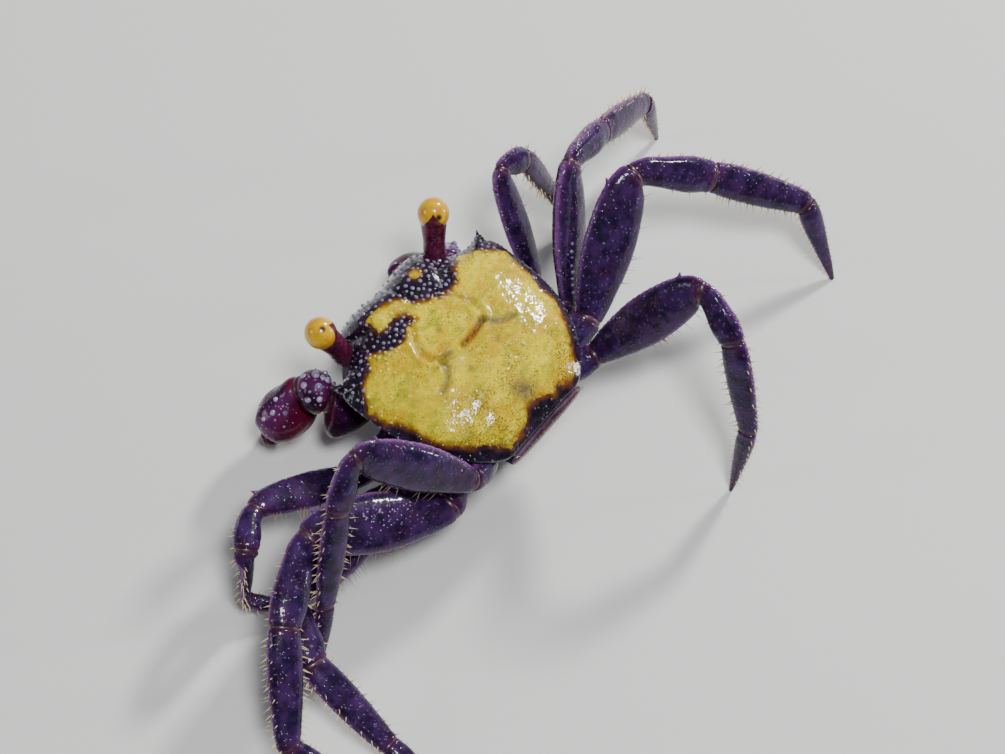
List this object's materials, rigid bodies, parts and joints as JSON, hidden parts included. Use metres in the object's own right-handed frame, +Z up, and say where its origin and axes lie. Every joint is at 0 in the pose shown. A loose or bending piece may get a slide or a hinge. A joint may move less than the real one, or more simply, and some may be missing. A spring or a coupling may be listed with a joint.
{
  "type": "vampire crab",
  "caption": "Small land crab standing on its walking legs with eyes raised, claws low in front and a domed shell plate on its back.",
  "frame": {"origin": "middle of the bounding box on the floor", "axes": "+Z up out of the back, -Y out of the face, +X to the crab's left"},
  "size_m": [0.0564, 0.03, 0.0152],
  "materials": {
    "carapace": "wet shell, lemon to ochre yellow patch in a black-violet margin",
    "leg": "wet shell, dark indigo-violet with purple edges",
    "claw": "wet shell, purple with crimson tints",
    "under_shell": "smooth shell, grey-violet",
    "eye": "smooth wet eye, yellow-orange",
    "stalk": "smooth shell, dark crimson"
  },
  "bodies": {
    "root": {"carapace": "carapace", "thorax": "under_shell", "abdomen": "under_shell", "eye_left": "eye", "eyestalk_left": "stalk", "mouthpart_left": "under_shell", "antenna_left": "stalk", "claw_left_arm": "claw", "claw_left_wrist": "claw", "claw_left_hand": "claw", "claw_left_finger": "claw", "leg_left_1_coxa": "leg", "leg_left_1_merus": "leg", "leg_left_1_carpus": "leg", "leg_left_1_propodus": "leg", "leg_left_1_dactyl": "leg", "leg_left_2_coxa": "leg", "leg_left_2_merus": "leg", "leg_left_2_carpus": "leg", "leg_left_2_propodus": "leg", "leg_left_2_dactyl": "leg", "leg_left_3_coxa": "leg", "leg_left_3_merus": "leg", "leg_left_3_carpus": "leg", "leg_left_3_propodus": "leg", "leg_left_3_dactyl": "leg", "leg_left_4_coxa": "leg", "leg_left_4_merus": "leg", "leg_left_4_carpus": "leg", "leg_left_4_propodus": "leg", "leg_left_4_dactyl": "leg", "eye_right": "eye", "eyestalk_right": "stalk", "mouthpart_right": "under_shell", "antenna_right": "stalk", "claw_right_arm": "claw", "claw_right_wrist": "claw", "claw_right_hand": "claw", "claw_right_finger": "claw", "leg_right_1_coxa": "leg", "leg_right_1_merus": "leg", "leg_right_1_carpus": "leg", "leg_right_1_propodus": "leg", "leg_right_1_dactyl": "leg", "leg_right_2_coxa": "leg", "leg_right_2_merus": "leg", "leg_right_2_carpus": "leg", "leg_right_2_propodus": "leg", "leg_right_2_dactyl": "leg", "leg_right_3_coxa": "leg", "leg_right_3_merus": "leg", "leg_right_3_carpus": "leg", "leg_right_3_propodus": "leg", "leg_right_3_dactyl": "leg", "leg_right_4_coxa": "leg", "leg_right_4_merus": "leg", "leg_right_4_carpus": "leg", "leg_right_4_propodus": "leg", "leg_right_4_dactyl": "leg"}
  },
  "joints": []
}
